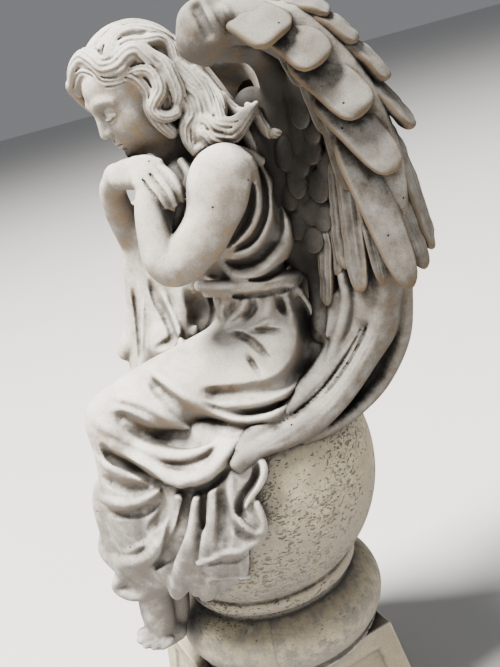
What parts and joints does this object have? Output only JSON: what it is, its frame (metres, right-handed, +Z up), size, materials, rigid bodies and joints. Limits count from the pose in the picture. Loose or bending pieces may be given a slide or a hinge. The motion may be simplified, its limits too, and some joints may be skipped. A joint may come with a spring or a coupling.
{
  "type": "seated angel statue on a ball and plinth",
  "caption": "Garden and cemetery statue of a seated winged figure resting on a ball, with long feathered wings and a draped dress, on a square panelled plinth.",
  "frame": {"origin": "centre of the plinth's underside", "axes": "+Z up along the ball's axis, X and Y along the plinth's sides; the figure's knees point about towards -Y, turned 20 degrees"},
  "size_m": [0.3111, 0.3803, 0.7278],
  "materials": {
    "figure_stone": "weathered cast stone, dark patina in the hollows",
    "plinth_stone": "weathered cast stone"
  },
  "bodies": {
    "root": {"angel_on_ball": "figure_stone", "plinth": "plinth_stone"}
  },
  "joints": []
}
